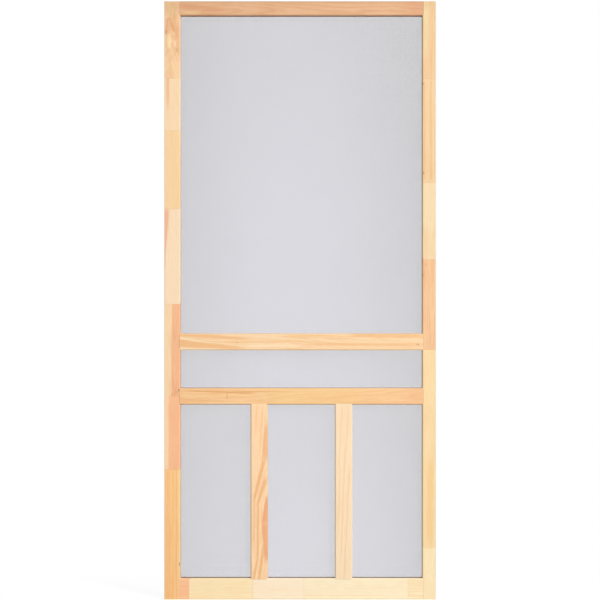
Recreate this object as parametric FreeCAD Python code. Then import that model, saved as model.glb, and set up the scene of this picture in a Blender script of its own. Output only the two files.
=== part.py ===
import FreeCAD, Part
import math
import os

from FreeCAD import Vector

# A wooden screen door with five bars: two stiles, a top and a bottom rail, two cross bars and two uprights.
# X runs across the door from the hinge edge, Y from the front to the back, Z up from the bottom edge.
# The origin is at the bottom of the hinge edge, in the middle of its thickness. Lengths are in millimetres.

# The whole door
door_width = 922.0
door_height = 2032.0
thickness = 25.4

# Widths of the members across their faces
left_stile_width = 54.5
right_stile_width = 45.4
top_rail_width = 48.0
bottom_rail_width = 71.7
cross_bar_width = 56.6
upright_width = 58.4

# Places of the bars: heights of the cross bars' centre lines, and the distance between the uprights' centre lines
lower_cross_bar_height = 689.8
upper_cross_bar_height = 874.9
upright_spacing = 287.4

# Eased edges: how far the rounding reaches from the corner, and how far it turns
inner_easing = 3.8
inner_easing_turn = 76.0
outer_easing = 1.0
outer_easing_turn = 90.0

# Stub tenons on the ends of the rails and bars
tenon_length = 25.0
tenon_thickness = 8.0
tenon_setback = 6.0
tenon_shoulder = 7.0
tenon_end_shoulder = 12.0
glue_gap = 0.15

# Recess routed round each opening at the back, and the groove in its floor that holds the screen
recess_width = 12.0
recess_depth = 3.0
recess_corner_radius = 9.5
groove_ledge = 4.5
groove_width = 4.0
groove_depth = 5.5
spline_sunk = 0.3
spline_crown_rise = 1.0

# Screens: thin sheets with a plain grid of openings, whose bars cover as much as the strands of a fine mesh
screen_thickness = 0.4
grid_widest_spacing = 92.0
grid_bar_width = 20.0

# Finger joints between the short lengths of wood
finger_length = 10.0
finger_pitch = 4.233
finger_tip_width = 0.6

# Places of the finger joints as they show on the face: heights on the stiles, distances from the hinge edge on the
# bottom rail, and the distance of the rail's last joint from the latch edge
left_stile_joints = [441.0, 690.0, 1003.0, 1327.0, 1593.0, 1770.0]
right_stile_joints = [174.5, 848.0, 1155.0, 1415.0, 1768.0]
bottom_rail_joints = [84.0, 301.0, 474.0]
bottom_rail_latch_joint = 94.6

# A cutting shape reaches this far past what it cuts
overrun = 5.0

# The kind of corner that a section makes where its path turns
MITRED = 1

# Faces of the frame
front = -thickness / 2
back = thickness / 2
recess_floor = back - recess_depth
groove_floor = recess_floor - groove_depth
tenon_front = front + tenon_setback

# Edges of the members that face an opening
left_edge = left_stile_width
right_edge = door_width - right_stile_width
bottom_edge = bottom_rail_width
top_edge = door_height - top_rail_width
lower_bar_bottom = lower_cross_bar_height - cross_bar_width / 2
lower_bar_top = lower_cross_bar_height + cross_bar_width / 2
upper_bar_bottom = upper_cross_bar_height - cross_bar_width / 2
upper_bar_top = upper_cross_bar_height + cross_bar_width / 2
middle = (left_edge + right_edge) / 2
left_upright_start = middle - upright_spacing / 2 - upright_width / 2
left_upright_end = left_upright_start + upright_width
right_upright_start = middle + upright_spacing / 2 - upright_width / 2
right_upright_end = right_upright_start + upright_width

# The openings that hold a screen: left, right, bottom and top
openings = {
    "upper": (left_edge, right_edge, upper_bar_top, top_edge),
    "middle": (left_edge, right_edge, lower_bar_top, upper_bar_bottom),
    "lower_left": (left_edge, left_upright_start, bottom_edge, lower_bar_bottom),
    "lower_centre": (left_upright_end, right_upright_start, bottom_edge, lower_bar_bottom),
    "lower_right": (right_upright_end, right_edge, bottom_edge, lower_bar_bottom),
}


# A point of a member that runs along x or z: its distance along the member, across it and through the door
def point(axis, along, across, depth):
    if axis == "x":
        return Vector(along, depth, across)
    return Vector(across, depth, along)


# A closed outline whose corners are rounded: each rounding starts and ends at its distance from the corner
def eased_outline(corners, easings, turns):
    starts = []
    ends = []
    for number, corner in enumerate(corners):
        before = (corners[number - 1] - corner).normalize()
        after = (corners[(number + 1) % len(corners)] - corner).normalize()
        starts.append(corner + before * easings[number])
        ends.append(corner + after * easings[number])
    edges = []
    for number, corner in enumerate(corners):
        if easings[number] > 0:
            chord = ends[number] - starts[number]
            chord_middle = (starts[number] + ends[number]) * 0.5
            bulge = chord.Length / 2 * math.tan(math.radians(turns[number]) / 4)
            crest = chord_middle + (corner - chord_middle).normalize() * bulge
            edges.append(Part.Arc(starts[number], crest, ends[number]).toShape())
        next_start = starts[(number + 1) % len(corners)]
        edges.append(Part.LineSegment(ends[number], next_start).toShape())
    return Part.Wire(edges)


# A length of moulded wood. An edge that faces an opening is rounded at the front and square at the back,
# an edge on the outside of the door is lightly eased on both faces.
def moulding(axis, start, end, low, high, low_is_outside=False, high_is_outside=False):
    corners = [point(axis, start, low, back), point(axis, start, low, front),
               point(axis, start, high, front), point(axis, start, high, back)]
    outside = [low_is_outside, low_is_outside, high_is_outside, high_is_outside]
    easings = []
    turns = []
    for number, at_outside in enumerate(outside):
        at_front = number in (1, 2)
        if at_outside:
            easings.append(outer_easing)
            turns.append(outer_easing_turn)
        else:
            easings.append(inner_easing if at_front else 0.0)
            turns.append(inner_easing_turn)
    section = Part.Face(eased_outline(corners, easings, turns))
    return section.extrude(point(axis, end - start, 0.0, 0.0))


# The tenon that starts at a shoulder and points one way along its member. Grown by a gap it is its mortise.
def tenon(axis, shoulder, way, low, high, gap=0.0):
    length = tenon_length + gap
    start = min(shoulder, shoulder + way * length)
    corner = point(axis, start, low - gap, tenon_front - gap)
    size = point(axis, length, high - low + 2 * gap, tenon_thickness + 2 * gap)
    return Part.makeBox(size.x, size.y, size.z, corner)


# A bar or rail between two members: its ends lap over their rounded edges, and it has a tenon at each end.
def jointed_bar(axis, shoulders, low, high, tenon_low, tenon_high, neighbours, outside=(False, False)):
    start, end = shoulders
    bar = moulding(axis, start - inner_easing, end + inner_easing, low, high, outside[0], outside[1])
    for neighbour in neighbours:
        bar = bar.cut(neighbour)
    bar = bar.fuse(tenon(axis, start, -1, tenon_low, tenon_high))
    bar = bar.fuse(tenon(axis, end, 1, tenon_low, tenon_high))
    return bar.removeSplitter()


# The four corners of an opening's outline at an offset
def corners_round(opening, offset, depth):
    left, right, bottom, top = opening
    return [Vector(left - offset, depth, bottom - offset), Vector(right + offset, depth, bottom - offset),
            Vector(right + offset, depth, top + offset), Vector(left - offset, depth, top + offset)]


# A flat plate that follows an opening's outline at an offset
def plate(opening, offset, from_depth, to_depth, corner_radius=0.0):
    corners = corners_round(opening, offset, from_depth)
    outline = eased_outline(corners, [corner_radius] * 4, [90.0] * 4)
    return Part.Face(outline).extrude(Vector(0, to_depth - from_depth, 0))


# A ring round an opening, between two offsets from its edge
def ring(opening, inner_offset, outer_offset, from_depth, to_depth):
    outer = plate(opening, outer_offset, from_depth, to_depth)
    inner = plate(opening, inner_offset, from_depth - overrun, to_depth + overrun)
    return outer.cut(inner)


# What the router takes away at the back of an opening: the recess, and the groove in its floor
def routed_recess(opening):
    recess = plate(opening, recess_width, recess_floor, back + overrun, recess_corner_radius)
    groove = ring(opening, groove_ledge, groove_ledge + groove_width, groove_floor, recess_floor + overrun)
    return recess.fuse(groove)


# Where the bars of an even grid leave openings between two edges: the two ends of each
def grid_gaps(near_edge, far_edge):
    count = math.ceil((far_edge - near_edge) / grid_widest_spacing)
    spacing = (far_edge - near_edge) / count
    gaps = []
    for number in range(count):
        start = near_edge + number * spacing + grid_bar_width / 2
        gaps.append((start, start + spacing - grid_bar_width))
    return gaps


# The openings of a screen's grid, as one shape that cuts them all
def grid_cutter(opening):
    left, right, bottom, top = opening
    rows = grid_gaps(bottom, top)
    cells = []
    for start, end in grid_gaps(left, right):
        for low, high in rows:
            cells.append(plate((start, end, low, high), 0.0, recess_floor - overrun, back))
    return Part.makeCompound(cells)


# The screen lies on the floor of the recess, and its edge is tucked down into the groove and up its far wall.
def screen(opening):
    far_wall = groove_ledge + groove_width
    sheet = plate(opening, groove_ledge + screen_thickness, recess_floor, recess_floor + screen_thickness)
    sheet = sheet.cut(grid_cutter(opening))
    tuck = ring(opening, groove_ledge, far_wall, groove_floor, recess_floor)
    spline_room = ring(opening, groove_ledge + screen_thickness, far_wall - screen_thickness,
                       groove_floor + screen_thickness, recess_floor + overrun)
    return tuck.cut(spline_room).fuse(sheet).removeSplitter()


# The spline fills the tuck of the screen, with a crown on the side that shows, and is mitred in the corners.
def spline(opening):
    foot = groove_floor + screen_thickness
    crown = recess_floor - spline_sunk
    shoulder = crown - spline_crown_rise
    path_corners = corners_round(opening, groove_ledge + screen_thickness, foot)
    path_start = (path_corners[0] + path_corners[1]) * 0.5
    path = Part.makePolygon([path_start] + path_corners[1:] + path_corners[:1] + [path_start])
    width = groove_width - 2 * screen_thickness
    inner_foot = path_start
    outer_foot = inner_foot - Vector(0, 0, width)
    outer_shoulder = outer_foot + Vector(0, shoulder - foot, 0)
    inner_shoulder = inner_foot + Vector(0, shoulder - foot, 0)
    crest = (inner_foot + outer_foot) * 0.5 + Vector(0, crown - foot, 0)
    section = Part.Wire([
        Part.LineSegment(inner_foot, outer_foot).toShape(),
        Part.LineSegment(outer_foot, outer_shoulder).toShape(),
        Part.Arc(outer_shoulder, crest, inner_shoulder).toShape(),
        Part.LineSegment(inner_shoulder, inner_foot).toShape(),
    ])
    return path.makePipeShell([section], True, False, MITRED)


# The line of fingers through the thickness of a finger joint. It meets both faces at the stated place.
def finger_line(axis, place, across):
    finger_count = round(thickness / finger_pitch)
    half_pitch = thickness / finger_count / 2
    line = [point(axis, place, across, front - overrun)]
    for number in range(2 * finger_count + 1):
        depth = front + number * half_pitch
        reach = place if number % 2 == 0 else place + finger_length
        line.append(point(axis, reach, across, depth - finger_tip_width / 2))
        line.append(point(axis, reach, across, depth + finger_tip_width / 2))
    line.append(point(axis, place, across, back + overrun))
    return line


# A straight line through the thickness, past the end of a member
def end_line(axis, place, across):
    return [point(axis, place, across, front - overrun), point(axis, place, across, back + overrun)]


# A member cut into its short lengths along the fingers, from its start to its end.
# Where the routed groove cuts the tip of a finger off its block, the tip stays glued in the block beside it.
def finger_jointed_blocks(member, axis, start, end, low, high, joints):
    across = low - overrun
    lines = [end_line(axis, start - tenon_length - overrun, across)]
    for place in joints:
        if start + finger_length < place < end - 2 * finger_length:
            lines.append(finger_line(axis, place, across))
    lines.append(end_line(axis, end + tenon_length + overrun, across))
    blocks = []
    loose_tips = []
    for number, (near_line, far_line) in enumerate(zip(lines, lines[1:])):
        outline = Part.makePolygon(near_line + far_line[::-1] + near_line[:1])
        cutter = Part.Face(outline).extrude(point(axis, 0.0, high - low + 2 * overrun, 0.0))
        solids = sorted(member.common(cutter).Solids, key=lambda solid: solid.Volume, reverse=True)
        blocks.append(solids[0])
        loose_tips += [(number, tip) for tip in solids[1:]]
    for number, tip in loose_tips:
        beside = [other for other in (number - 1, number + 1) if 0 <= other < len(blocks)]
        glued_to = min(beside, key=lambda other: blocks[other].distToShape(tip)[0])
        blocks[glued_to] = blocks[glued_to].fuse(tip).removeSplitter()
    return blocks


def export(shape, name):
    shape.exportStep("parts/" + name + ".step")
    print("%-24s solids %d valid %s %9.1f cm3" % (name, len(shape.Solids), shape.isValid(), shape.Volume / 1000))


# Tenon edges: a plain shoulder beside an opening, and a wider one at the ends of the stiles
top_tenon = (top_edge + tenon_shoulder, door_height - tenon_end_shoulder)
bottom_tenon = (tenon_end_shoulder, bottom_edge - tenon_shoulder)
upper_bar_tenon = (upper_bar_bottom + tenon_shoulder, upper_bar_top - tenon_shoulder)
lower_bar_tenon = (lower_bar_bottom + tenon_shoulder, lower_bar_top - tenon_shoulder)
left_upright_tenon = (left_upright_start + tenon_shoulder, left_upright_end - tenon_shoulder)
right_upright_tenon = (right_upright_start + tenon_shoulder, right_upright_end - tenon_shoulder)

# Stiles, from the bottom of the door to its top
left_stile = moulding("z", 0.0, door_height, 0.0, left_edge, low_is_outside=True)
right_stile = moulding("z", 0.0, door_height, right_edge, door_width, high_is_outside=True)

# Rails and cross bars between the stiles, and uprights between the lower cross bar and the bottom rail
stiles = [left_stile, right_stile]
between_stiles = (left_edge, right_edge)
top_rail = jointed_bar("x", between_stiles, top_edge, door_height, *top_tenon, stiles, outside=(False, True))
bottom_rail = jointed_bar("x", between_stiles, 0.0, bottom_edge, *bottom_tenon, stiles, outside=(True, False))
upper_cross_bar = jointed_bar("x", between_stiles, upper_bar_bottom, upper_bar_top, *upper_bar_tenon, stiles)
lower_cross_bar = jointed_bar("x", between_stiles, lower_bar_bottom, lower_bar_top, *lower_bar_tenon, stiles)
crossing_bars = [lower_cross_bar, bottom_rail]
between_bars = (bottom_edge, lower_bar_bottom)
left_upright = jointed_bar("z", between_bars, left_upright_start, left_upright_end, *left_upright_tenon, crossing_bars)
right_upright = jointed_bar("z", between_bars, right_upright_start, right_upright_end, *right_upright_tenon,
                            crossing_bars)

# Mortises
for low, high in (top_tenon, bottom_tenon, upper_bar_tenon, lower_bar_tenon):
    left_stile = left_stile.cut(tenon("x", left_edge, -1, low, high, glue_gap))
    right_stile = right_stile.cut(tenon("x", right_edge, 1, low, high, glue_gap))
for low, high in (left_upright_tenon, right_upright_tenon):
    lower_cross_bar = lower_cross_bar.cut(tenon("z", lower_bar_bottom, 1, low, high, glue_gap))
    bottom_rail = bottom_rail.cut(tenon("z", bottom_edge, -1, low, high, glue_gap))

# The recesses are routed after the frame is glued up, so they run across the joints.
recesses = Part.makeCompound([routed_recess(opening) for opening in openings.values()])
left_stile = left_stile.cut(recesses)
right_stile = right_stile.cut(recesses)
bottom_rail = bottom_rail.cut(recesses)

os.makedirs("parts", exist_ok=True)

rail_joints = bottom_rail_joints + [door_width - bottom_rail_latch_joint]
jointed_members = {
    "left_stile": finger_jointed_blocks(left_stile, "z", 0.0, door_height, 0.0, left_edge, left_stile_joints),
    "right_stile": finger_jointed_blocks(right_stile, "z", 0.0, door_height, right_edge, door_width,
                                         right_stile_joints),
    "bottom_rail": finger_jointed_blocks(bottom_rail, "x", left_edge, right_edge, 0.0, bottom_edge, rail_joints),
}
for member_name, blocks in jointed_members.items():
    for number, block in enumerate(blocks, start=1):
        export(block, "%s_block_%d" % (member_name, number))

plain_members = {
    "top_rail": top_rail,
    "upper_cross_bar": upper_cross_bar,
    "lower_cross_bar": lower_cross_bar,
    "left_upright": left_upright,
    "right_upright": right_upright,
}
for member_name, member in plain_members.items():
    export(member.cut(recesses), member_name)

for opening_name, opening in openings.items():
    export(screen(opening), opening_name + "_screen")
    export(spline(opening), opening_name + "_spline")
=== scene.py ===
import math
import bpy
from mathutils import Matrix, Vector


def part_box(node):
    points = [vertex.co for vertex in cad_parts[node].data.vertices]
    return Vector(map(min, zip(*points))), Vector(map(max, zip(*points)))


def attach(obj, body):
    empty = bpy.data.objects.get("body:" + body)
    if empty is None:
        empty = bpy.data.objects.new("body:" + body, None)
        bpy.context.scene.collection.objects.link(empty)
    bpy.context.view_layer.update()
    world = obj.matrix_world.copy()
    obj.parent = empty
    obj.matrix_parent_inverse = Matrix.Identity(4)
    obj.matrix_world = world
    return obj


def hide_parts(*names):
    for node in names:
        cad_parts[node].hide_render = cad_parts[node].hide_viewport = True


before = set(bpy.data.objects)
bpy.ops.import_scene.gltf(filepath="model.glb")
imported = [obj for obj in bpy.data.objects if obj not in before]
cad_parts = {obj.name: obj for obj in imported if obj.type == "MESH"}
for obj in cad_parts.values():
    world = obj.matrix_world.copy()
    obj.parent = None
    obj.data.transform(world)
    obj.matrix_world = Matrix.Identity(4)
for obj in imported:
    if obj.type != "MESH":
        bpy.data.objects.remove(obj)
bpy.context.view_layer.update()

scene = bpy.context.scene
print("frame loaded:", len(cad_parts), "nodes")


# camera, background and lamps

cameraLook = {
    "place": (0.4608, -4.2, 1.0172),
    "shownHeight": 2.0382,     # metres of the door's front plane that fill the picture
    "frontPlane": -0.0127,
    "sensorWidth": 36,         # millimetres, as Blender gives it
}

lampLook = {
    "key": {"place": (6.2, -6.0, 7.2), "aim": (0.46, 0.0, 1.0), "size": (2.2, 2.2), "watts": 800.0},
    "front": {"place": (0.46, -4.6, 1.3), "aim": (0.46, 0.0, 1.0), "size": (0.6, 2.6), "watts": 57.0},
    "back": {"place": (4.0, 5.0, 4.0), "aim": (0.46, 0.0, 1.0), "size": (2.4, 2.4), "watts": 260.0},
}

roomLook = {
    "ambient": 0.2,            # what lights the door from all round
    "floorSize": 9.0,
    "floorMiddle": 0.461,      # the middle of the door's width
    "floorTone": 0.6,          # how pale it is to light that bounces off it
    "floorDrop": 0.0004,
    "floorGlow": 0.9,          # the white that the camera sees near the door, whatever the lamps do
    "floorShadow": 0.12,       # how much of the door's shadow shows on it
    "shadowReach": (0.05, 0.5),  # before and behind the door, where that fades to plain white
}


def aimedAt(place, aim):
    return (Vector(aim) - Vector(place)).to_track_quat("-Z", "Y").to_euler()


def addCamera(look):
    bpy.ops.object.camera_add(location=look["place"])
    camera = bpy.context.object
    camera.name = "photoCamera"
    camera.rotation_euler = (math.radians(90), 0, 0)
    distance = look["frontPlane"] - look["place"][1]
    camera.data.sensor_width = look["sensorWidth"]
    camera.data.lens = look["sensorWidth"] * distance / look["shownHeight"]
    scene.camera = camera


def addLamp(name, look):
    turn = aimedAt(look["place"], look["aim"])
    bpy.ops.object.light_add(type="AREA", location=look["place"], rotation=turn)
    lamp = bpy.context.object
    lamp.name = name + "Lamp"
    lamp.data.shape = "RECTANGLE"
    lamp.data.size = look["size"][0]
    lamp.data.size_y = look["size"][1]
    lamp.data.energy = look["watts"]


def seenDirectly(tree):
    # 1 for what the camera sees itself or by way of gloss or glass
    path = tree.nodes.new("ShaderNodeLightPath")
    either = calc(tree, "MAXIMUM", path.outputs["Is Camera Ray"], path.outputs["Is Glossy Ray"])
    return calc(tree, "MAXIMUM", either, path.outputs["Is Transmission Ray"])


def whiteRoom(look):
    world = bpy.data.worlds.new("whiteRoom")
    scene.world = world
    world.use_nodes = True
    tree = world.node_tree
    tree.nodes.clear()
    lightInRoom = tree.nodes.new("ShaderNodeBackground")
    lightInRoom.inputs["Color"].default_value = (1, 1, 1, 1)
    lightInRoom.inputs["Strength"].default_value = look["ambient"]
    seenWhite = tree.nodes.new("ShaderNodeBackground")
    seenWhite.inputs["Color"].default_value = (1, 1, 1, 1)
    seenWhite.inputs["Strength"].default_value = 1
    choose = tree.nodes.new("ShaderNodeMixShader")
    out = tree.nodes.new("ShaderNodeOutputWorld")
    tree.links.new(seenDirectly(tree), choose.inputs[0])
    tree.links.new(lightInRoom.outputs[0], choose.inputs[1])
    tree.links.new(seenWhite.outputs[0], choose.inputs[2])
    tree.links.new(choose.outputs[0], out.inputs[0])


def whiteFloor(look):
    middle = (look["floorMiddle"], 0, -look["floorDrop"])
    bpy.ops.mesh.primitive_plane_add(size=look["floorSize"], location=middle)
    floor = bpy.context.object
    floor.name = "paleFloor"
    material = bpy.data.materials.new("paleFloor")
    material.use_nodes = True
    tree = material.node_tree
    tree.nodes.clear()
    plain = tree.nodes.new("ShaderNodeBsdfDiffuse")
    plain.inputs["Color"].default_value = (look["floorTone"],) * 3 + (1,)
    shadowed = tree.nodes.new("ShaderNodeBsdfDiffuse")
    shadowed.inputs["Color"].default_value = (look["floorShadow"],) * 3 + (1,)
    glow = tree.nodes.new("ShaderNodeEmission")
    glow.inputs["Color"].default_value = (1, 1, 1, 1)
    glow.inputs["Strength"].default_value = look["floorGlow"]
    white = tree.nodes.new("ShaderNodeEmission")
    white.inputs["Color"].default_value = (1, 1, 1, 1)
    white.inputs["Strength"].default_value = 1
    coordinates = tree.nodes.new("ShaderNodeTexCoord")
    place = tree.nodes.new("ShaderNodeSeparateXYZ")
    tree.links.new(coordinates.outputs["Object"], place.inputs[0])
    fromDoor = calc(tree, "ABSOLUTE", place.outputs[1])
    nearDoor = tree.nodes.new("ShaderNodeAddShader")
    seen = tree.nodes.new("ShaderNodeMixShader")
    choose = tree.nodes.new("ShaderNodeMixShader")
    out = tree.nodes.new("ShaderNodeOutputMaterial")
    tree.links.new(shadowed.outputs[0], nearDoor.inputs[0])
    tree.links.new(glow.outputs[0], nearDoor.inputs[1])
    tree.links.new(ramped(tree, fromDoor, *look["shadowReach"]), seen.inputs[0])
    tree.links.new(nearDoor.outputs[0], seen.inputs[1])
    tree.links.new(white.outputs[0], seen.inputs[2])
    tree.links.new(seenDirectly(tree), choose.inputs[0])
    tree.links.new(plain.outputs[0], choose.inputs[1])
    tree.links.new(seen.outputs[0], choose.inputs[2])
    tree.links.new(choose.outputs[0], out.inputs[0])
    floor.data.materials.append(material)


# small helpers for materials

def setOrLink(tree, socket, value):
    if isinstance(value, bpy.types.NodeSocket):
        tree.links.new(value, socket)
    else:
        socket.default_value = value


def calc(tree, operation, first, second=0.0, third=0.0):
    node = tree.nodes.new("ShaderNodeMath")
    node.operation = operation
    for socket, value in zip(node.inputs, (first, second, third)):
        setOrLink(tree, socket, value)
    return node.outputs[0]


def ramped(tree, value, low, high, start=0.0, end=1.0, kind="SMOOTHSTEP"):
    # start below low, end above high, and a smooth change between them
    node = tree.nodes.new("ShaderNodeMapRange")
    node.interpolation_type = kind
    sockets = ("Value", "From Min", "From Max", "To Min", "To Max")
    for name, given in zip(sockets, (value, low, high, start, end)):
        setOrLink(tree, node.inputs[name], given)
    return node.outputs["Result"]


def noise(tree, place, detail=2.0, roughness=0.5, distortion=0.0):
    node = tree.nodes.new("ShaderNodeTexNoise")
    node.inputs["Scale"].default_value = 1
    node.inputs["Detail"].default_value = detail
    node.inputs["Roughness"].default_value = roughness
    node.inputs["Distortion"].default_value = distortion
    tree.links.new(place, node.inputs["Vector"])
    return node.outputs["Fac"]


def stretched(tree, place, repeats, shift=(0, 0, 0)):
    # the place times so many repeats per unit of length, moved on by a shift
    node = tree.nodes.new("ShaderNodeVectorMath")
    node.operation = "MULTIPLY_ADD"
    tree.links.new(place, node.inputs[0])
    node.inputs[1].default_value = repeats
    node.inputs[2].default_value = shift
    return node.outputs[0]


def blended(tree, share, first, second, way="MIX"):
    node = tree.nodes.new("ShaderNodeMix")
    node.data_type = "RGBA"
    node.blend_type = way
    setOrLink(tree, node.inputs[0], share)
    setOrLink(tree, node.inputs[6], first)
    setOrLink(tree, node.inputs[7], second)
    return node.outputs[2]


def tone(red, green, blue):
    # a colour as it is picked on the screen, 0 to 255
    values = []
    for part in (red, green, blue):
        part = part / 255
        values.append(part / 12.92 if part <= 0.04045 else ((part + 0.055) / 1.055) ** 2.4)
    return tuple(values) + (1.0,)


def startMaterial(name):
    material = bpy.data.materials.new(name)
    material.use_nodes = True
    tree = material.node_tree
    shader = tree.nodes["Principled BSDF"]
    coordinates = tree.nodes.new("ShaderNodeTexCoord")
    return material, tree, shader, coordinates.outputs["Object"]


def finishNode(name, material):
    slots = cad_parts[name].material_slots
    for slot in slots:
        slot.material = material


# pine

# Lengths here are millimetres of the door: across is x in an upright piece and z in a lying one,
# and along is the other.
pineLook = {
    "light": (252, 219, 175),
    "dark": (240, 186, 130),
    "ring": 3.4,               # from one year to the next
    "pith": (90, -30),         # the middle of the log, across and in depth from the middle of the piece
    "lean": (0.0, 0.0),        # how far the log leans across and in depth, per length
    "wander": 3.0,             # how far the years wander
    "ringShow": 0.45,
    "fibreShow": 0.25,
    "streakTone": (243, 188, 130),
    "streakWidth": 7.0,
    "streakLength": 300.0,
    "streakFrom": 0.56,        # more of the wood is streaked at a lower number
    "streakShow": 0.5,
    "blotchShow": 0.25,
    # the colour of the dark seams, and of the painted shade along given edges
    "seamAndEdgeShadeTone": (138, 82, 46),
    "seamWidth": 0.5,
    "seamShow": 0.2,
    "copeWidth": 0.9,          # where a rail, bar or upright is coped to its neighbour
    "meshTone": (80, 63, 52),  # shade in the corner where the side of an opening meets the mesh
    "meshShow": 0.9,
    "meshFrom": -2.5,          # the depth where that shade begins
    "meshFade": 8,
    "recessFloor": (9.75, 9.9),  # the depth where it ends
    "meshReach": (25, 35),     # how far in from the outer side it begins
    "outerEdge": None,         # the side that meets no mesh
    "outerShadeTone": (196, 178, 142),
    "outerShadeShow": 0.35,          # painted shade: a duller strip along the outer side, standing in for its rounded edge in shade
    "outerShadeStrip": (1.0, 4.0),
    "faceDepth": (11.6, 12.5),  # from here out, a seam shows
    "rough": (0.46, 0.62),
    "gloss": 0.3,
    "grainDepth": 0.00012,
    "grainStrength": 0.35,
    # repeats of each noise per millimetre, across, in depth and along
    "slowBend": (0.022, 0.022, 0.0034),
    "fineBend": (0.14, 0.14, 0.016),
    "fibres": (1.7, 1.7, 0.028),
    "blotches": (0.03, 0.03, 0.008),
    "wobble": (0.11, 0.11, 0.012),
    # shares of a year in which the late wood darkens, and in which it ends
    "yearDarkens": (0.3, 0.86),
    "yearEnds": (0.88, 1.0),
    "fibreTint": (0.35, 0.8, 1.25),  # how strongly the fibres shade red, green and blue
}

# what a band or a spot has unless it says otherwise
maskLook = {
    "soft": 1.5,
    "wavy": 4.0,
    "fade": 4.0,
    "show": 0.8,
    "ragged": 0.8,
    "spotEdge": (0.25, 1.1),
}


def bandMask(tree, across, along, band, wobble):
    # band: across at its start and at its end, the span along, and how soft its sides and ends are
    start, end = band["start"], band["end"]
    low = ramped(tree, along, band["span"][0], band["span"][1], start[0], end[0], "LINEAR")
    high = ramped(tree, along, band["span"][0], band["span"][1], start[1], end[1], "LINEAR")
    softness = band.get("soft", maskLook["soft"])
    wavy = calc(tree, "MULTIPLY_ADD", wobble, maskLook["wavy"], across)
    fromLow = calc(tree, "SUBTRACT", wavy, low)
    fromHigh = calc(tree, "SUBTRACT", high, wavy)
    pastLow = ramped(tree, fromLow, -softness, softness)
    beforeHigh = ramped(tree, fromHigh, -softness, softness)
    inside = calc(tree, "MULTIPLY", pastLow, beforeHigh)
    fade = band.get("fade", maskLook["fade"])
    begins = ramped(tree, along, band["span"][0] - fade, band["span"][0] + fade)
    ends = ramped(tree, along, band["span"][1] - fade, band["span"][1] + fade, 1.0, 0.0)
    whole = calc(tree, "MULTIPLY", calc(tree, "MULTIPLY", begins, ends), inside)
    return calc(tree, "MULTIPLY", whole, band.get("show", maskLook["show"]))


def spotMask(tree, across, along, spot, wobble):
    sideways = calc(tree, "DIVIDE", calc(tree, "SUBTRACT", across, spot["at"][0]), spot["size"][0])
    lengthways = calc(tree, "DIVIDE", calc(tree, "SUBTRACT", along, spot["at"][1]), spot["size"][1])
    squares = calc(tree, "MULTIPLY_ADD", sideways, sideways, calc(tree, "MULTIPLY", lengthways, lengthways))
    ragged = calc(tree, "MULTIPLY_ADD", wobble, maskLook["ragged"], squares)
    return ramped(tree, ragged, *maskLook["spotEdge"], spot.get("show", maskLook["show"]), 0.0)


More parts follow.
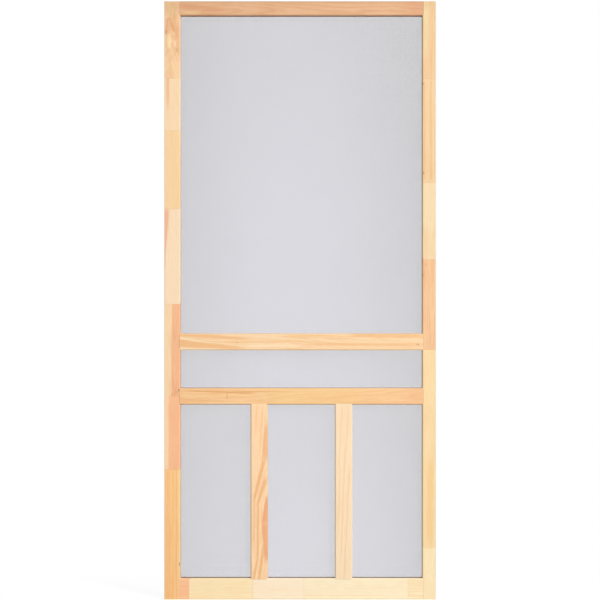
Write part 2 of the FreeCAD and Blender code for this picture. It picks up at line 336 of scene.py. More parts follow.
def pine(name, changes):
    look = dict(pineLook)
    look.update(changes)
    material, tree, shader, place = startMaterial(name + "Pine")
    low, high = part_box(name)
    seed = look["seed"]

    # the door's millimetres as across, depth and along of this piece
    parts = tree.nodes.new("ShaderNodeSeparateXYZ")
    tree.links.new(place, parts.inputs[0])
    order = (0, 1, 2) if look["along"] == "z" else (2, 1, 0)
    across, depth, along = [calc(tree, "MULTIPLY", parts.outputs[axis], 1000) for axis in order]
    middle = [500 * (low[axis] + high[axis]) for axis in order]
    fromMiddle = calc(tree, "SUBTRACT", along, middle[2])
    acrossLog = calc(tree, "MULTIPLY_ADD", fromMiddle, -look["lean"][0], across)
    depthLog = calc(tree, "MULTIPLY_ADD", fromMiddle, -look["lean"][1], depth)
    join = tree.nodes.new("ShaderNodeCombineXYZ")
    for value, socket in zip((acrossLog, depthLog, along), join.inputs):
        tree.links.new(value, socket)
    wood = join.outputs[0]

    # years: rings round the middle of the log, bent by two sizes of noise
    slowBend = noise(tree, stretched(tree, wood, look["slowBend"], (seed, 0, 0)), 2)
    fineBend = noise(tree, stretched(tree, wood, look["fineBend"], (0, seed, 0)), 2)
    sideways = calc(tree, "SUBTRACT", acrossLog, middle[0] + look["pith"][0])
    inwards = calc(tree, "SUBTRACT", depthLog, look["pith"][1])
    squares = calc(tree, "MULTIPLY_ADD", sideways, sideways, calc(tree, "MULTIPLY", inwards, inwards))
    radius = calc(tree, "POWER", squares, 0.5)
    bent = calc(tree, "MULTIPLY_ADD", slowBend, look["wander"] * 4, radius)
    bent = calc(tree, "MULTIPLY_ADD", fineBend, look["wander"] * 0.5, bent)
    year = calc(tree, "FRACT", calc(tree, "DIVIDE", bent, look["ring"]))
    darkens = ramped(tree, year, *look["yearDarkens"])
    ends = ramped(tree, year, *look["yearEnds"], 1.0, 0.0)
    lateWood = calc(tree, "MULTIPLY", darkens, ends)

    # fibres, long streaks and broad blotches
    fibre = noise(tree, stretched(tree, wood, look["fibres"], (seed, seed, 0)), 3, 0.6)
    streakRepeats = (1 / look["streakWidth"], 1 / look["streakWidth"], 1 / look["streakLength"])
    streak = noise(tree, stretched(tree, wood, streakRepeats, (0, 0, seed)), 3, 0.55, 0.3)
    blotch = noise(tree, stretched(tree, wood, look["blotches"], (seed, 1, seed)), 1)
    wobble = noise(tree, stretched(tree, wood, look["wobble"], (2, seed, 5)), 2)
    wobble = calc(tree, "SUBTRACT", wobble, 0.5)

    rings = calc(tree, "MULTIPLY", lateWood, look["ringShow"])
    colour = blended(tree, rings, tone(*look["light"]), tone(*look["dark"]))
    streaked = ramped(tree, streak, look["streakFrom"], look["streakFrom"] + 0.13, 0.0, look["streakShow"])
    colour = blended(tree, streaked, colour, tone(*look["streakTone"]))
    for band in look.get("bands", ()):
        colour = blended(tree, bandMask(tree, across, along, band, wobble), colour, tone(*band["tone"]))
    blotched = ramped(tree, blotch, 0.3, 0.7, -look["blotchShow"], look["blotchShow"], "LINEAR")
    blotched = calc(tree, "MAXIMUM", blotched, 0)
    colour = blended(tree, blotched, colour, tone(*look["dark"]))
    darkest = 1 - look["fibreShow"] * 0.5
    brightest = 1 + look["fibreShow"] * 0.25
    fine = ramped(tree, fibre, 0.34, 0.66, darkest, brightest, "LINEAR")
    shade = tree.nodes.new("ShaderNodeCombineXYZ")
    for power, socket in zip(look["fibreTint"], shade.inputs):
        tree.links.new(calc(tree, "POWER", fine, power), socket)
    colour = blended(tree, 1.0, colour, shade.outputs[0], "MULTIPLY")
    for spot in look.get("spots", ()):
        colour = blended(tree, spotMask(tree, across, along, spot, wobble), colour, tone(*spot["tone"]))

    # thin dark seams where the piece meets its neighbours, on the two faces
    onFace = ramped(tree, calc(tree, "ABSOLUTE", depth), *look["faceDepth"])
    joints = [(seam, look["seamWidth"], look["seamShow"]) for seam in look.get("seams", ())]
    joints += [(seam, look["copeWidth"], show) for seam, show in look.get("coped", ())]
    for seam, width, show in joints:
        fromSeam = calc(tree, "ABSOLUTE", calc(tree, "SUBTRACT", along, seam))
        line = ramped(tree, fromSeam, width * 0.5, width * 1.5, show, 0.0)
        colour = blended(tree, calc(tree, "MULTIPLY", line, onFace), colour, tone(*look["seamAndEdgeShadeTone"]))
    # painted shade: darker lines in the seam colour along the given edges, where rounded edges face away
    # from the light
    for edge, width, show in look.get("shadedEdgeLines", ()):
        fromEdge = calc(tree, "ABSOLUTE", calc(tree, "SUBTRACT", across, edge))
        line = ramped(tree, fromEdge, width * 0.5, width * 1.2, show, 0.0)
        colour = blended(tree, line, colour, tone(*look["seamAndEdgeShadeTone"]))

    # shade painted in the corner beside the mesh, and painted shade as a duller strip along the outer side
    meshTo = look["meshFrom"] + look["meshFade"]
    atMesh = ramped(tree, depth, look["meshFrom"], meshTo, 0.0, look["meshShow"])
    atMesh = calc(tree, "MULTIPLY", atMesh, ramped(tree, depth, *look["recessFloor"], 1.0, 0.0))
    if look["outerEdge"] is not None:
        fromOuter = calc(tree, "ABSOLUTE", calc(tree, "SUBTRACT", across, look["outerEdge"]))
        atMesh = calc(tree, "MULTIPLY", atMesh, ramped(tree, fromOuter, *look["meshReach"]))
        # painted shade along the outer rounded edge
        outerShade = ramped(tree, fromOuter, *look["outerShadeStrip"], look["outerShadeShow"], 0.0)
        colour = blended(tree, outerShade, colour, tone(*look["outerShadeTone"]))
    colour = blended(tree, atMesh, colour, tone(*look["meshTone"]))
    tree.links.new(colour, shader.inputs["Base Color"])

    # gloss and the feel of the planed wood
    roughness = ramped(tree, fibre, 0.3, 0.7, look["rough"][0], look["rough"][1], "LINEAR")
    tree.links.new(roughness, shader.inputs["Roughness"])
    shader.inputs["Specular IOR Level"].default_value = look["gloss"]
    height = calc(tree, "MULTIPLY_ADD", lateWood, 0.5, fibre)
    bump = tree.nodes.new("ShaderNodeBump")
    bump.inputs["Strength"].default_value = look["grainStrength"]
    bump.inputs["Distance"].default_value = look["grainDepth"]
    tree.links.new(height, bump.inputs["Height"])
    tree.links.new(bump.outputs[0], shader.inputs["Normal"])
    finishNode(name, material)


# left stile, from the bottom block up
pine("left_stile_block_1", {
    "along": "z", "seed": 3.1, "outerEdge": 0,
    "light": (255, 211, 151), "dark": (248, 186, 120), "pith": (140, 10), "ring": 2.2, "ringShow": 0.6,
    "streakTone": (244, 176, 108), "streakWidth": 2.4, "streakLength": 260.0, "streakFrom": 0.52,
    "streakShow": 0.55,
    "bands": [
        {"start": (2, 21), "end": (2, 19), "span": (-20, 445), "tone": (250, 189, 125), "show": 0.5},
        {"start": (26, 28.5), "end": (25.5, 28), "span": (-20, 445), "tone": (244, 176, 110), "soft": 1,
         "show": 0.45},
        {"start": (40, 43), "end": (40.5, 43), "span": (-20, 445), "tone": (243, 172, 108), "soft": 1,
         "show": 0.6},
        {"start": (46, 60), "end": (46, 60), "span": (-20, 445), "tone": (249, 212, 155), "show": 0.7},
    ],
    "spots": [{"at": (51.5, 120), "size": (1.6, 8), "tone": (124, 72, 41)}],
    "seams": [441],
})
pine("left_stile_block_2", {
    "along": "z", "seed": 7.4, "outerEdge": 0,
    "light": (251, 195, 151), "dark": (241, 173, 127), "pith": (-110, 18), "ring": 3.0,
    "streakTone": (241, 173, 129), "streakShow": 0.4,
    "bands": [
        {"start": (-6, 14), "end": (-6, 15), "span": (430, 700), "tone": (254, 216, 175), "show": 0.9},
    ],
    "seams": [441, 690],
})
pine("left_stile_block_3", {
    "along": "z", "seed": 11.8, "outerEdge": 0,
    "light": (246, 189, 146), "dark": (235, 169, 125), "pith": (8, -34), "lean": (0.0, 0.02), "ring": 3.2,
    "streakTone": (235, 167, 123), "streakShow": 0.35,
    "bands": [
        {"start": (-6, 24), "end": (-6, 26), "span": (680, 1015), "tone": (248, 216, 172), "show": 0.95},
    ],
    "spots": [
        {"at": (49, 711), "size": (3.4, 5), "tone": (172, 109, 68), "show": 0.75},
        {"at": (41, 704.5), "size": (6, 3), "tone": (209, 144, 100), "show": 0.6},
        {"at": (29, 697), "size": (9, 3.4), "tone": (221, 158, 114), "show": 0.45},
    ],
    "seams": [690, 1003],
})
pine("left_stile_block_4", {
    "along": "z", "seed": 16.3, "outerEdge": 0,
    "light": (249, 223, 190), "dark": (243, 205, 166), "pith": (120, -12), "ring": 3.6,
    "streakTone": (244, 204, 162), "streakShow": 0.4,
    "bands": [
        {"start": (-8, 2.5), "end": (-8, 3.5), "span": (990, 1340), "tone": (242, 182, 144), "show": 0.6},
        {"start": (-14, 0), "end": (-4, 17), "span": (1110, 1335), "tone": (239, 177, 140), "soft": 4,
         "fade": 30,
         "show": 0.9},
    ],
    "seams": [1003, 1327],
})
pine("left_stile_block_5", {
    "along": "z", "seed": 21.9, "outerEdge": 0,
    "light": (247, 214, 167), "dark": (239, 193, 138), "pith": (-150, 4), "ring": 2.2, "ringShow": 0.6,
    "streakTone": (239, 194, 138), "streakWidth": 4.0, "streakShow": 0.45,
    "seams": [1327, 1593],
})
pine("left_stile_block_6", {
    "along": "z", "seed": 26.2, "outerEdge": 0,
    "light": (247, 219, 180), "dark": (241, 200, 156), "pith": (60, 44), "ring": 3.4,
    "streakTone": (242, 202, 159), "streakShow": 0.35,
    "bands": [
        {"start": (6, 16), "end": (6, 17), "span": (1678, 1800), "tone": (236, 180, 141), "soft": 3,
         "fade": 34,
         "show": 0.75},
    ],
    "seams": [1593, 1770],
})
pine("left_stile_block_7", {
    "along": "z", "seed": 31.5, "outerEdge": 0,
    "light": (242, 202, 159), "dark": (227, 174, 125), "pith": (-2, 36), "lean": (0.02, 0.1), "ring": 3.4,
    "ringShow": 0.45, "wander": 4.5,
    "streakTone": (224, 170, 121), "streakWidth": 4.0, "streakLength": 60.0, "streakShow": 0.5,
    "blotchShow": 0.6,
    "bands": [
        {"start": (-6, 60), "end": (-6, 60), "span": (1994, 2040), "tone": (214, 172, 127), "fade": 22,
         "show": 0.55},
        {"start": (12, 20), "end": (13, 21), "span": (1982, 2028), "tone": (218, 200, 140), "fade": 6,
         "show": 0.6},
        {"start": (31, 37), "end": (33, 39), "span": (1968, 2016), "tone": (208, 182, 125), "fade": 8,
         "show": 0.6},
        {"start": (29, 38), "end": (14, 21), "span": (1928, 1976), "tone": (220, 155, 109), "soft": 2.5,
         "fade": 6,
         "show": 0.75},
        {"start": (2, 9), "end": (9, 15), "span": (1926, 1974), "tone": (218, 157, 111), "soft": 2.5,
         "fade": 6,
         "show": 0.7},
        {"start": (-6, 60), "end": (-6, 60), "span": (1750, 1838), "tone": (249, 214, 168), "fade": 34,
         "show": 0.6},
        {"start": (36, 46), "end": (38, 48), "span": (1905, 1952), "tone": (235, 166, 125), "fade": 10,
         "show": 0.6},
    ],
    "spots": [
        {"at": (17, 1897), "size": (9, 30), "tone": (248, 219, 169), "show": 0.8},
        {"at": (5, 1927), "size": (6, 8), "tone": (183, 139, 100), "show": 0.5},
        {"at": (43, 1866), "size": (4, 9), "tone": (202, 157, 111), "show": 0.5},
        {"at": (36, 1888), "size": (5, 12), "tone": (249, 215, 175), "show": 0.6},
    ],
    "seams": [1770],
})

# right stile, from the bottom block up
pine("right_stile_block_1", {
    "along": "z", "seed": 36.7, "outerEdge": 922,
    "light": (251, 233, 192), "dark": (244, 212, 164), "pith": (160, 6), "ring": 2.4, "ringShow": 0.7,
    "streakTone": (245, 214, 166), "streakWidth": 4.0, "streakShow": 0.4,
    "seams": [174.5],
})
pine("right_stile_block_2", {
    "along": "z", "seed": 41.3, "outerEdge": 922,
    "light": (247, 220, 171), "dark": (240, 200, 144), "pith": (-120, 14), "ring": 3.4,
    "streakTone": (240, 198, 141), "streakWidth": 6.0, "streakLength": 380.0, "streakShow": 0.45,
    "bands": [
        {"start": (891, 913), "end": (893, 915), "span": (190, 470), "tone": (240, 202, 139), "fade": 40,
         "soft": 4, "show": 0.65},
    ],
    "seams": [174.5, 848],
})
pine("right_stile_block_3", {
    "along": "z", "seed": 46.6, "outerEdge": 922,
    "light": (241, 199, 154), "dark": (232, 174, 125), "pith": (10, -40), "lean": (0.0, 0.015), "ring": 3.2,
    "streakTone": (231, 172, 123), "streakShow": 0.45,
    "spots": [
        {"at": (889, 1138), "size": (1.6, 9), "tone": (198, 130, 81), "show": 0.7},
        {"at": (881, 1102), "size": (1.6, 6), "tone": (198, 130, 81), "show": 0.6},
    ],
    "seams": [848, 1155],
})
pine("right_stile_block_4", {
    "along": "z", "seed": 52.4, "outerEdge": 922,
    "light": (241, 218, 178), "dark": (235, 199, 151), "pith": (-70, 30), "ring": 3.8,
    "streakTone": (235, 198, 149), "streakShow": 0.4, "blotchShow": 0.55,
    "seams": [1155, 1415],
})
pine("right_stile_block_5", {
    "along": "z", "seed": 57.8, "outerEdge": 922,
    "light": (239, 208, 164), "dark": (230, 185, 132), "pith": (130, -6), "ring": 2.8,
    "streakTone": (229, 182, 128), "streakWidth": 5.0, "streakLength": 420.0, "streakShow": 0.45,
    "bands": [
        {"start": (882, 886), "end": (882, 886), "span": (1425, 1760), "tone": (227, 180, 128),
         "show": 0.6},
        {"start": (903, 909), "end": (902, 908), "span": (1425, 1760), "tone": (228, 182, 128),
         "show": 0.6},
    ],
    "spots": [
        {"at": (881, 1449), "size": (2.4, 5), "tone": (166, 110, 65)},
        {"at": (879, 1752), "size": (2.0, 4), "tone": (142, 90, 56)},
    ],
    "seams": [1415, 1768],
})
pine("right_stile_block_6", {
    "along": "z", "seed": 62.1, "outerEdge": 922,
    "light": (236, 200, 155), "dark": (228, 180, 128), "pith": (-90, -24), "ring": 3.2,
    "streakTone": (228, 179, 126), "streakShow": 0.45,
    "bands": [
        {"start": (876, 896), "end": (876, 900), "span": (1850, 2040), "tone": (234, 212, 163), "fade": 30,
         "soft": 4, "show": 0.7},
        {"start": (870, 930), "end": (870, 930), "span": (2006, 2040), "tone": (222, 192, 147),
         "fade": 14, "show": 0.6},
    ],
    "seams": [1768],
})

# rails and bars
pine("top_rail", {
    "along": "x", "seed": 67.5, "outerEdge": 2032,
    "light": (224, 178, 138), "dark": (209, 153, 110), "pith": (-8, 46), "lean": (0.0, 0.012), "ring": 3.4,
    "streakTone": (209, 151, 108), "streakWidth": 8.0, "streakLength": 360.0, "streakShow": 0.45,
    "bands": [
        {"start": (2004, 2026), "end": (1996, 2010), "span": (52, 200), "tone": (212, 149, 107), "fade": 24,
         "soft": 5, "show": 0.6},
        {"start": (1990, 1997), "end": (1989, 1996), "span": (66, 124), "tone": (226, 191, 138), "fade": 10,
         "show": 0.7},
        {"start": (1980, 2040), "end": (1980, 2040), "span": (808, 910), "tone": (215, 157, 117),
         "fade": 40,
         "show": 0.6},
    ],
    "coped": [(50.9, 0.2), (880.2, 0.65)],
    "shadedEdgeLines": [(2030.2, 2.4, 0.3)],
})
pine("upper_cross_bar", {
    "along": "x", "seed": 72.2,
    "light": (248, 214, 171), "dark": (240, 193, 139), "pith": (16, -58), "lean": (-0.03, 0.02), "ring": 4.0,
    "wander": 4.0,
    "streakTone": (239, 189, 131), "streakWidth": 7.0, "streakLength": 420.0, "streakFrom": 0.52,
    "streakShow": 0.55,
    "bands": [
        {"start": (895, 905), "end": (881, 890), "span": (48, 276), "tone": (239, 181, 123), "fade": 24,
         "soft": 2.5, "show": 0.6},
        {"start": (886, 892), "end": (864, 870), "span": (48, 170), "tone": (251, 227, 192), "fade": 16,
         "soft": 2, "show": 0.75},
        {"start": (864, 870), "end": (855, 862), "span": (166, 262), "tone": (251, 227, 192), "fade": 18,
         "soft": 2, "show": 0.7},
        {"start": (858, 884), "end": (851, 859), "span": (44, 262), "tone": (237, 181, 122), "fade": 18,
         "soft": 3, "show": 0.75},
        {"start": (845, 855), "end": (845, 852), "span": (48, 176), "tone": (251, 225, 188), "fade": 20,
         "soft": 2, "show": 0.6},
        {"start": (857, 865), "end": (858, 866), "span": (276, 466), "tone": (251, 226, 190), "fade": 30,
         "soft": 2, "show": 0.65},
        {"start": (873, 878), "end": (875, 880), "span": (276, 466), "tone": (239, 189, 133), "fade": 30,
         "soft": 2, "show": 0.5},
        {"start": (891, 908), "end": (889, 908), "span": (632, 882), "tone": (238, 185, 129), "fade": 36,
         "soft": 3, "show": 0.75},
        {"start": (864, 869), "end": (860, 872), "span": (478, 882), "tone": (238, 187, 131), "fade": 50,
         "soft": 2, "show": 0.65},
    ],
    "spots": [
        {"at": (866, 861), "size": (3.6, 6.5), "tone": (195, 133, 86), "show": 0.45},
        {"at": (873, 247.5), "size": (1.6, 2.0), "tone": (147, 96, 58)},
    ],
    "coped": [(50.9, 0.7), (880.2, 0.3)],
})
pine("lower_cross_bar", {
    "along": "x", "seed": 77.9,
    "light": (246, 202, 150), "dark": (236, 179, 121), "pith": (-14, 62), "lean": (0.012, -0.012),
    "ring": 3.4,
    "streakTone": (236, 179, 119), "streakWidth": 5.0, "streakLength": 460.0, "streakShow": 0.5,
    "bands": [
        {"start": (713, 722), "end": (713, 722), "span": (40, 890), "tone": (253, 213, 164), "soft": 1,
         "show": 0.6},
        {"start": (707.5, 711.5), "end": (698, 702), "span": (84, 300), "tone": (222, 159, 99), "fade": 24,
         "soft": 1.5, "show": 0.9},
        {"start": (706, 709), "end": (704, 707), "span": (230, 420), "tone": (226, 167, 106), "fade": 30,
         "soft": 1.5, "show": 0.8},
        {"start": (676, 681), "end": (672, 676), "span": (60, 200), "tone": (232, 167, 106), "fade": 30,
         "soft": 2, "show": 0.5},
        {"start": (650, 730), "end": (650, 730), "span": (336, 648), "tone": (244, 207, 144), "fade": 80,
         "show": 0.5},
        {"start": (650, 730), "end": (650, 730), "span": (800, 910), "tone": (241, 187, 142), "fade": 50,
         "show": 0.6},
    ],
    "spots": [
        {"at": (691, 213), "size": (15, 3.5), "tone": (222, 159, 105), "show": 0.4},
    ],
    "coped": [(50.9, 0.6), (880.2, 0.3)],
    "shadedEdgeLines": [(718.1, 1.2, 0.6), (662.0, 2.0, 0.7)],
})
pine("bottom_rail_block_1", {
    "along": "x", "meshFrom": -10.5, "seed": 82.6, "outerEdge": 0,
    "light": (255, 202, 158), "dark": (255, 182, 134), "pith": (20, 40), "ring": 3.0,
    "streakTone": (255, 180, 130), "streakShow": 0.4,
    "seams": [84],
})
pine("bottom_rail_block_2", {
    "along": "x", "meshFrom": -10.5, "seed": 88.3, "outerEdge": 0,
    "light": (255, 240, 198), "dark": (255, 216, 163), "pith": (150, -8), "ring": 4.4, "ringShow": 0.9,
    "wander": 2.0,
    "streakTone": (255, 211, 155), "streakWidth": 2.6, "streakLength": 160.0, "streakShow": 0.6,
    "seams": [84, 301],
})
pine("bottom_rail_block_3", {
    "along": "x", "meshFrom": -10.5, "seed": 93.7, "outerEdge": 0,
    "light": (255, 240, 211), "dark": (255, 223, 186), "pith": (-60, 50), "ring": 3.8,
    "streakTone": (255, 223, 184), "streakShow": 0.35,
    "seams": [301, 474],
})
pine("bottom_rail_block_4", {
    "along": "x", "meshFrom": -10.5, "seed": 98.4, "outerEdge": 0,
    "light": (255, 241, 207), "dark": (248, 219, 175), "pith": (130, 12), "ring": 2.8,
    "streakTone": (248, 217, 173), "streakWidth": 5.0, "streakLength": 420.0, "streakShow": 0.45,
    "seams": [474, 827.4],
})
pine("bottom_rail_block_5", {
    "along": "x", "meshFrom": -10.5, "seed": 103.2, "outerEdge": 0,
    "light": (253, 233, 192), "dark": (245, 210, 163), "pith": (-30, -44), "ring": 3.2,
    "streakTone": (245, 208, 160), "streakShow": 0.4,
    "seams": [827.4], "coped": [(880.2, 0.3)],
})

# the two uprights between the lower cross bar and the bottom rail
pine("left_upright", {
    "along": "z", "seed": 108.9,
    "light": (255, 219, 176), "dark": (246, 195, 143), "pith": (6, -46), "lean": (0.08, 0.05), "ring": 4.2,
    "wander": 5.0, "ringShow": 0.35,
    "streakTone": (243, 187, 129), "streakWidth": 5.0, "streakLength": 200.0, "streakFrom": 0.56,
    "streakShow": 0.4,
    "bands": [
        {"start": (330, 352), "end": (341, 352), "span": (474, 600), "tone": (238, 174, 117), "fade": 24,
         "soft": 2.5, "show": 0.7},
        {"start": (301, 309), "end": (331, 344), "span": (338, 470), "tone": (238, 180, 123), "fade": 16,
         "soft": 2.5, "show": 0.85},
        {"start": (311, 319), "end": (338, 352), "span": (318, 412), "tone": (238, 182, 125), "fade": 16,
         "soft": 2.5, "show": 0.85},
        {"start": (341, 352), "end": (330, 352), "span": (130, 262), "tone": (238, 161, 109), "fade": 20,
         "soft": 2.5, "show": 0.8},
        {"start": (330, 352), "end": (345, 352), "span": (262, 350), "tone": (238, 161, 109), "fade": 14,
         "soft": 2.5, "show": 0.8},
        {"start": (313, 320), "end": (315, 322), "span": (140, 320), "tone": (238, 184, 127), "fade": 20,
         "soft": 1.8, "show": 0.85},
        {"start": (298, 306), "end": (312, 320), "span": (60, 142), "tone": (240, 188, 131), "fade": 14,
         "soft": 2, "show": 0.85},
        {"start": (302, 307), "end": (303, 308), "span": (190, 340), "tone": (240, 192, 137), "fade": 24,
         "soft": 1.8, "show": 0.8},
        {"start": (314, 323), "end": (334, 344), "span": (50, 190), "tone": (240, 186, 129), "fade": 20,
         "soft": 2, "show": 0.85},
        {"start": (306, 312), "end": (310, 315), "span": (560, 660), "tone": (242, 194, 141), "fade": 24,
         "soft": 2, "show": 0.5},
        {"start": (324, 330), "end": (330, 337), "span": (520, 650), "tone": (242, 192, 137), "fade": 30,
         "soft": 2, "show": 0.5},
    ],
    "coped": [(68.1, 0.3), (665.1, 0.2)],
    "shadedEdgeLines": [(293.4, 2.6, 0.45)],
})
pine("right_upright", {
    "along": "z", "seed": 114.4,
    "light": (251, 228, 194), "dark": (244, 209, 166), "pith": (110, 20), "lean": (0.08, 0.0), "ring": 4.6,
    "ringShow": 0.6,
    "streakTone": (244, 207, 162), "streakWidth": 6.0, "streakShow": 0.4,
    "bands": [
        {"start": (590, 595), "end": (601, 607), "span": (440, 660), "tone": (247, 210, 164), "fade": 30,
         "soft": 1.8, "show": 0.7},
        {"start": (598, 602), "end": (611, 616), "span": (134, 508), "tone": (245, 201, 154), "fade": 40,
         "soft": 1.8, "show": 0.6},
        {"start": (609, 613), "end": (625, 631), "span": (70, 440), "tone": (245, 201, 154), "fade": 40,
         "soft": 1.8, "show": 0.6},
        {"start": (587, 591), "end": (595, 600), "span": (200, 440), "tone": (245, 203, 156), "fade": 30,
         "soft": 1.8, "show": 0.55},
        {"start": (614, 618), "end": (622, 628), "span": (480, 660), "tone": (246, 203, 154), "fade": 30,
         "soft": 1.8, "show": 0.55},
    ],
    "coped": [(68.1, 0.25), (665.1, 0.2)],
    "shadedEdgeLines": [(580.1, 1.2, 0.2)],
})
print("pine finished")


# insect screens

grooveLook = {
    "ledge": 0.0045,           # from the opening to the groove
    "width": 0.004,
    "floor": 0.0042,
    "recessFloor": 0.0097,
}

# where each screen fits, in metres: left, right, bottom and top edge of its opening
openings = {}
for name in ("upper", "middle", "lower_left", "lower_centre", "lower_right"):
    low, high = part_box(name + "_screen")
    rim = grooveLook["ledge"] + grooveLook["width"]
    openings[name] = (low[0] + rim, high[0] - rim, low[2] + rim, high[2] - rim)

screenLook = {
    "strand": 0.00035,         # thickness of one coated yarn
    "sides": 6,
    "smoothAngle": 62,         # degrees
    "uprightPitch": 0.001411,
    "lyingPitch": 0.0015875,
    "lyingLift": 2.9,          # how high the lying yarns lie over the recess floor, in yarn radii
    "tipGap": 3,               # how far the tucked ends stop under it, in yarn radii
    "tone": (52, 37, 86),
    "tonePaleAndLit": (157, 153, 177),
    "litMiddle": (0.47, 0.5),       # x and z of the middle of its paler part, a painted highlight
    "litReach": (0.486, 2.9),
    "coatRepeats": 2600,       # per metre
    "coatShow": 0.5,
    "cloudRepeats": 4,
    "cloudShow": 0.2,
    "rough": (0.38, 0.5),
    "gloss": 0.3,
    "coatDepth": 0.00003,
    "coatStrength": 0.3,
}


def onlyThis(piece):
    bpy.ops.object.select_all(action="DESELECT")
    piece.select_set(True)
    bpy.context.view_layer.objects.active = piece


def selectFaces(piece, wanted):
    # in edit mode, the faces that wanted() says yes to, by their middle and their normal
    bpy.ops.object.mode_set(mode="EDIT")
    bpy.ops.mesh.select_mode(type="FACE")
    bpy.ops.mesh.select_all(action="DESELECT")
    bpy.ops.object.mode_set(mode="OBJECT")
    for face in piece.data.polygons:
        face.select = wanted(face.center, face.normal)
    bpy.ops.object.mode_set(mode="EDIT")


def turnCap(angle, axis, centre):
    bpy.ops.transform.rotate(value=angle, orient_axis=axis, center_override=centre)


def pushOn(step):
    bpy.ops.mesh.extrude_region_move(TRANSFORM_OT_translate={"value": step})


def tuckedStrand(name, low, high, level, groove, look):
    # one upright yarn with both ends pressed into the groove:
    # down its near wall, along its floor and up its far wall
    radius = look["strand"] / 2
    bend = groove["ledge"] + radius
    length = high - low + 2 * bend
    bpy.ops.object.select_all(action="DESELECT")
    bpy.ops.mesh.primitive_cylinder_add(
        vertices=look["sides"], radius=radius, depth=length, location=(0, level, (low + high) / 2),
        rotation=(0, 0, math.radians(180 / look["sides"]))
    )
    yarn = bpy.context.object
    yarn.name = name
    bpy.ops.object.transform_apply(location=True, rotation=True, scale=True)
    drop = level - groove["floor"] - radius
    rise = groove["recessFloor"] - groove["floor"] - radius * look["tipGap"]
    run = groove["width"] - 2 * radius
    for way in (1, -1):
        end = (high + bend) if way > 0 else (low - bend)
        selectFaces(yarn, lambda middle, normal: normal.z * way > 0.9 and abs(middle.z - end) < radius)
        turnCap(math.radians(-45) * way, "X", (0, level, end))
        pushOn((0, -drop, 0))
        pushOn((0, 0, run * way))
        turnCap(math.radians(90) * way, "X", (0, level - drop, end + run * way))
        pushOn((0, rise, 0))
    bpy.ops.object.mode_set(mode="OBJECT")
    return yarn


def settle(piece):
    # the place, turn and size go into the mesh, as in a CAD node
    onlyThis(piece)
    bpy.ops.object.transform_apply(location=True, rotation=True, scale=True)


def repeatAlong(piece, axis, pitch, count):
    onlyThis(piece)
    bpy.ops.object.modifier_add(type="ARRAY")
    array = piece.modifiers[-1]
    array.use_relative_offset = False
    array.use_constant_offset = True
    array.constant_offset_displace = [pitch if axis == number else 0 for number in range(3)]
    array.count = count
    bpy.ops.object.modifier_apply(modifier=array.name)


def wovenScreen(name, opening, groove, look):
    left, right, bottom, top = opening
    radius = look["strand"] / 2
    reach = groove["ledge"]
    uprightCount = int((right - left + 2 * reach) / look["uprightPitch"])
    lyingCount = int((top - bottom + 2 * reach) / look["lyingPitch"])
    uprightStart = (left + right - (uprightCount - 1) * look["uprightPitch"]) / 2
    lyingStart = (bottom + top - (lyingCount - 1) * look["lyingPitch"]) / 2

    upright = tuckedStrand("uprightYarn", bottom, top, groove["recessFloor"] + radius, groove, look)
    upright.location = (uprightStart, 0, 0)
    settle(upright)
    repeatAlong(upright, 0, look["uprightPitch"], uprightCount)

    level = groove["recessFloor"] + radius * look["lyingLift"]
    lying = tuckedStrand("lyingYarn", left, right, level, groove, look)
    lying.rotation_euler = (0, math.radians(90), 0)
    settle(lying)
    lying.location = (0, 0, lyingStart)
    settle(lying)
    repeatAlong(lying, 2, look["lyingPitch"], lyingCount)

    upright.select_set(True)
    bpy.context.view_layer.objects.active = upright
    bpy.ops.object.join()
    onlyThis(upright)
    bpy.ops.object.shade_smooth_by_angle(angle=math.radians(look["smoothAngle"]))
    upright.name = name + "_screen_weave"
    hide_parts(name + "_screen")
    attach(upright, "root")
    return upright


def screenYarn(look):
    # grey vinyl over glass yarn, with the slight unevenness of its coat, and a painted highlight that makes
    # it paler towards the middle of the door
    material, tree, shader, place = startMaterial("screenYarn")
    coat = noise(tree, stretched(tree, place, (look["coatRepeats"],) * 3), 2)
    cloud = noise(tree, stretched(tree, place, (look["cloudRepeats"],) * 3), 3)
    parts = tree.nodes.new("ShaderNodeSeparateXYZ")
    tree.links.new(place, parts.inputs[0])
    # painted highlight: paler towards the middle and fading out to the sides, then varied by the coat's
    # unevenness
    squares = 0.0
    for part, middle, reach in zip((0, 2), look["litMiddle"], look["litReach"]):
        away = calc(tree, "DIVIDE", calc(tree, "SUBTRACT", parts.outputs[part], middle), reach)
        squares = calc(tree, "MULTIPLY_ADD", away, away, squares)
    pale = calc(tree, "SUBTRACT", 1.0, squares)
    pale = calc(tree, "MULTIPLY_ADD", calc(tree, "SUBTRACT", cloud, 0.5), look["cloudShow"], pale)
    pale = calc(tree, "MULTIPLY_ADD", calc(tree, "SUBTRACT", coat, 0.5), look["coatShow"], pale)
    pale = ramped(tree, pale, 0.0, 1.0, 0.0, 1.0, "LINEAR")
    colour = blended(tree, pale, tone(*look["tone"]), tone(*look["tonePaleAndLit"]))
    tree.links.new(colour, shader.inputs["Base Color"])
    tree.links.new(ramped(tree, coat, 0.3, 0.7, *look["rough"], "LINEAR"), shader.inputs["Roughness"])
    shader.inputs["Specular IOR Level"].default_value = look["gloss"]
    bump = tree.nodes.new("ShaderNodeBump")
    bump.inputs["Strength"].default_value = look["coatStrength"]
    bump.inputs["Distance"].default_value = look["coatDepth"]
    tree.links.new(coat, bump.inputs["Height"])
    tree.links.new(bump.outputs[0], shader.inputs["Normal"])
    return material


yarnMaterial = screenYarn(screenLook)
for name, opening in openings.items():
    weave = wovenScreen(name, opening, grooveLook, screenLook)
    weave.data.materials.append(yarnMaterial)
    print("screen woven:", name, len(weave.data.polygons), "faces")


# splines that hold the screens

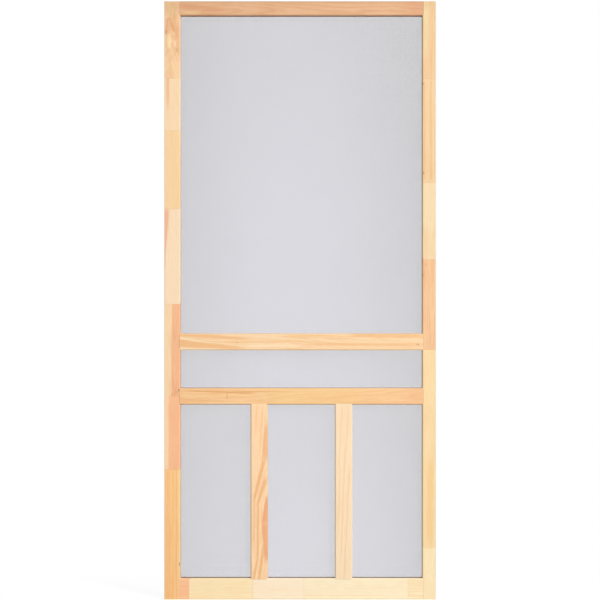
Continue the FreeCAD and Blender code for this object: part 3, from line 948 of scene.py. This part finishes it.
splineLook = {
    "gap": 0.0004,             # room for the screen at each side of it
    "crest": 0.0003,           # how far its crest lies under the recess floor
    "crownRise": 0.001,
    "ribs": 5,
    "ribHeight": 0.00012,
    "tone": (52, 54, 58),
    "toneDusty": (74, 76, 80),
    "dustRepeats": 24,         # per metre
    "grainRepeats": 1400,
    "rough": (0.42, 0.66),
    "grainDepth": 0.00004,
    "grainStrength": 0.3,
    "smoothAngle": 50,         # degrees
}


def ribbedSpline(name, opening, groove, look):
    left, right, bottom, top = opening
    outside = groove["ledge"] + groove["width"] - look["gap"]
    width = groove["width"] - 2 * look["gap"]
    foot = groove["floor"] + look["gap"]
    crest = groove["recessFloor"] - look["crest"]
    shoulder = crest - look["crownRise"]
    bpy.ops.object.select_all(action="DESELECT")
    middle = ((left + right) / 2, shoulder, (bottom + top) / 2)
    bpy.ops.mesh.primitive_plane_add(size=1, location=middle, rotation=(math.radians(-90), 0, 0))
    ring = bpy.context.object
    ring.name = name + "_ribbed_spline"
    ring.scale = (right - left + 2 * outside, top - bottom + 2 * outside, 1)
    settle(ring)

    # inset after inset across the crown, up a rib and down again, which leaves the corners mitred
    steps = 4 * look["ribs"]
    heights = []
    for step in range(steps + 1):
        share = step / steps
        crown = look["crownRise"] * (1 - (2 * share - 1) ** 2)
        heights.append(crown - look["ribHeight"] * (step % 2))
    bpy.ops.object.mode_set(mode="EDIT")
    bpy.ops.mesh.select_all(action="SELECT")
    for before, after in zip(heights, heights[1:]):
        bpy.ops.mesh.inset(thickness=width / steps, depth=after - before)
    bpy.ops.mesh.delete(type="FACE")

    # its two sides go down to the foot, and the foot closes it
    bpy.ops.mesh.select_all(action="SELECT")
    bpy.ops.mesh.region_to_loop()
    bpy.ops.mesh.extrude_edges_move(TRANSFORM_OT_translate={"value": (0, foot - shoulder, 0)})
    bpy.ops.mesh.bridge_edge_loops()
    bpy.ops.mesh.select_all(action="SELECT")
    bpy.ops.mesh.normals_make_consistent(inside=False)
    bpy.ops.object.mode_set(mode="OBJECT")
    bpy.ops.object.shade_smooth_by_angle(angle=math.radians(look["smoothAngle"]))
    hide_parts(name + "_spline")
    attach(ring, "root")
    return ring


def splineVinyl(look):
    material, tree, shader, place = startMaterial("splineVinyl")
    dusty = noise(tree, stretched(tree, place, (look["dustRepeats"],) * 3), 4, 0.6)
    grain = noise(tree, stretched(tree, place, (look["grainRepeats"],) * 3), 2)
    colour = blended(tree, ramped(tree, dusty, 0.42, 0.7), tone(*look["tone"]), tone(*look["toneDusty"]))
    tree.links.new(colour, shader.inputs["Base Color"])
    tree.links.new(ramped(tree, dusty, 0.3, 0.7, *look["rough"], "LINEAR"), shader.inputs["Roughness"])
    bump = tree.nodes.new("ShaderNodeBump")
    bump.inputs["Strength"].default_value = look["grainStrength"]
    bump.inputs["Distance"].default_value = look["grainDepth"]
    tree.links.new(grain, bump.inputs["Height"])
    tree.links.new(bump.outputs[0], shader.inputs["Normal"])
    return material


vinylMaterial = splineVinyl(splineLook)
for name, opening in openings.items():
    spline = ribbedSpline(name, opening, grooveLook, splineLook)
    spline.data.materials.append(vinylMaterial)
    print("spline pressed in:", name, len(spline.data.polygons), "faces")


# the scene round the door

addCamera(cameraLook)
for name, look in lampLook.items():
    addLamp(name, look)
whiteRoom(roomLook)
whiteFloor(roomLook)
scene.view_settings.view_transform = "Standard"

print("scene ready")
